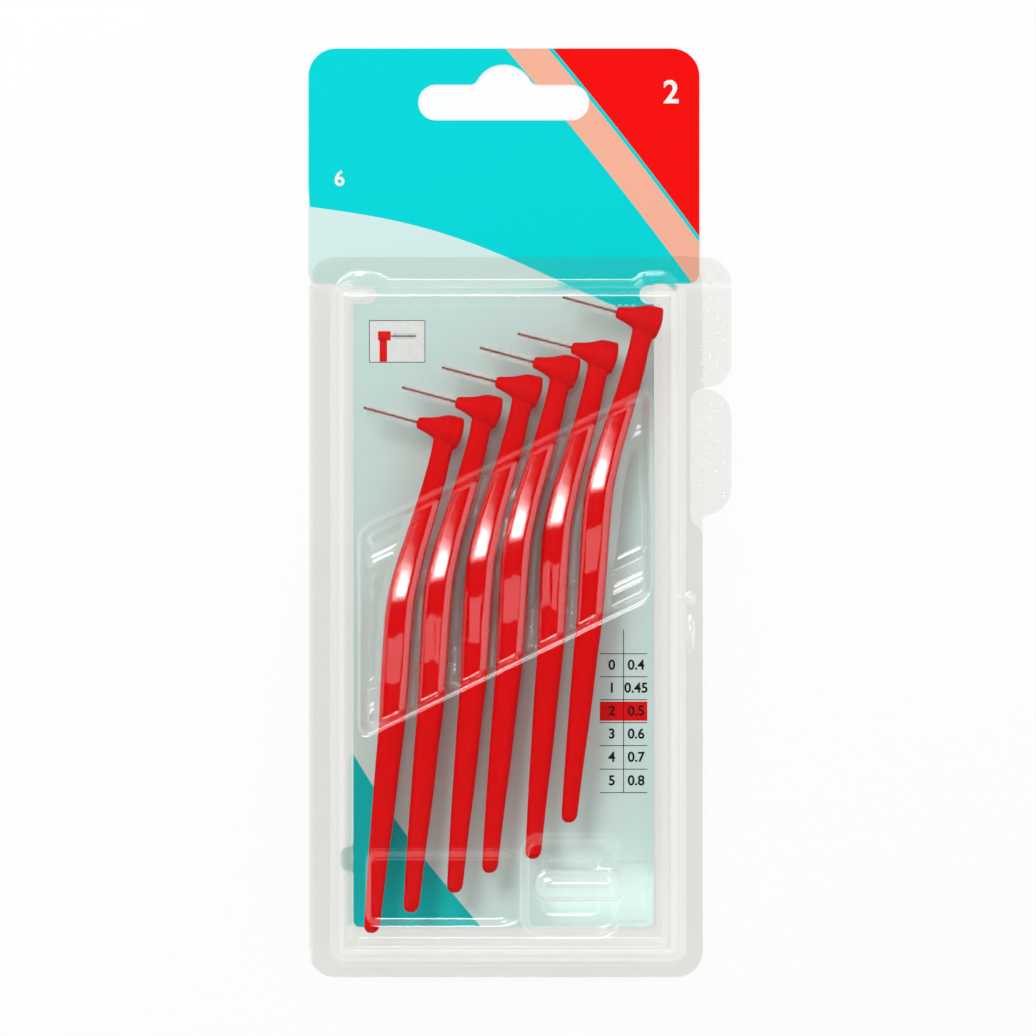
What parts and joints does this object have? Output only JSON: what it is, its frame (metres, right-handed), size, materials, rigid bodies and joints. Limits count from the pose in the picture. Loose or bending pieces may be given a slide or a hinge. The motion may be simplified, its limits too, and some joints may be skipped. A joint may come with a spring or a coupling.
{
  "type": "interdental brush pack",
  "caption": "Slim angled interdental brushes held by their grips in a hinged clear case, with a hanging card and a loose protective cap.",
  "frame": {"origin": "centre of the pack's back face, where it lies on a table", "axes": "+Y up the pack to the hanging slot, +Z out of the front of the pack, +X to the finger tabs"},
  "size_m": [0.0792, 0.1738, 0.013],
  "materials": {
    "clear_film": "thermoformed clear polyester film",
    "printed_card": "coated printed card",
    "clear_cap": "clear moulded polypropylene",
    "red_plastic": "moulded polypropylene, semi-gloss",
    "steel_wire": "drawn stainless wire",
    "wire_coating": "thin coating on the wire",
    "nylon_filament": "fine nylon filament"
  },
  "bodies": {
    "back": {"back_shell": "clear_film", "hinge_fold": "clear_film", "header_card": "printed_card"},
    "lid": {"front_shell": "clear_film"},
    "cap": {"protective_cap": "clear_cap"},
    "brush_1": {"handle_1": "red_plastic", "wire_core_1": "steel_wire", "wire_coat_1": "wire_coating", "bristles_1": "nylon_filament"},
    "brush_2": {"handle_2": "red_plastic", "wire_core_2": "steel_wire", "wire_coat_2": "wire_coating", "bristles_2": "nylon_filament"},
    "brush_3": {"handle_3": "red_plastic", "wire_core_3": "steel_wire", "wire_coat_3": "wire_coating", "bristles_3": "nylon_filament"},
    "brush_4": {"handle_4": "red_plastic", "wire_core_4": "steel_wire", "wire_coat_4": "wire_coating", "bristles_4": "nylon_filament"},
    "brush_5": {"handle_5": "red_plastic", "wire_core_5": "steel_wire", "wire_coat_5": "wire_coating", "bristles_5": "nylon_filament"},
    "brush_6": {"handle_6": "red_plastic", "wire_core_6": "steel_wire", "wire_coat_6": "wire_coating", "bristles_6": "nylon_filament"}
  },
  "joints": [
    {"name": "lid_hinge", "type": "hinge", "parent": "back", "child": "lid", "pos_m": [-0.03925, 0, 0.00035], "axis": [0, -1, 0], "range_deg": [0, 115]},
    {"name": "cap_lift", "type": "slide", "parent": "lid", "child": "cap", "axis": [0, 0, -1], "range_m": [0, 0.0028]},
    {"name": "brush_1_lift", "type": "slide", "parent": "lid", "child": "brush_1", "axis": [0, 0, -1], "range_m": [0, 0.0038]},
    {"name": "brush_2_lift", "type": "slide", "parent": "lid", "child": "brush_2", "axis": [0, 0, -1], "range_m": [0, 0.0038]},
    {"name": "brush_3_lift", "type": "slide", "parent": "lid", "child": "brush_3", "axis": [0, 0, -1], "range_m": [0, 0.0038]},
    {"name": "brush_4_lift", "type": "slide", "parent": "lid", "child": "brush_4", "axis": [0, 0, -1], "range_m": [0, 0.0038]},
    {"name": "brush_5_lift", "type": "slide", "parent": "lid", "child": "brush_5", "axis": [0, 0, -1], "range_m": [0, 0.0038]},
    {"name": "brush_6_lift", "type": "slide", "parent": "lid", "child": "brush_6", "axis": [0, 0, -1], "range_m": [0, 0.0015]}
  ]
}
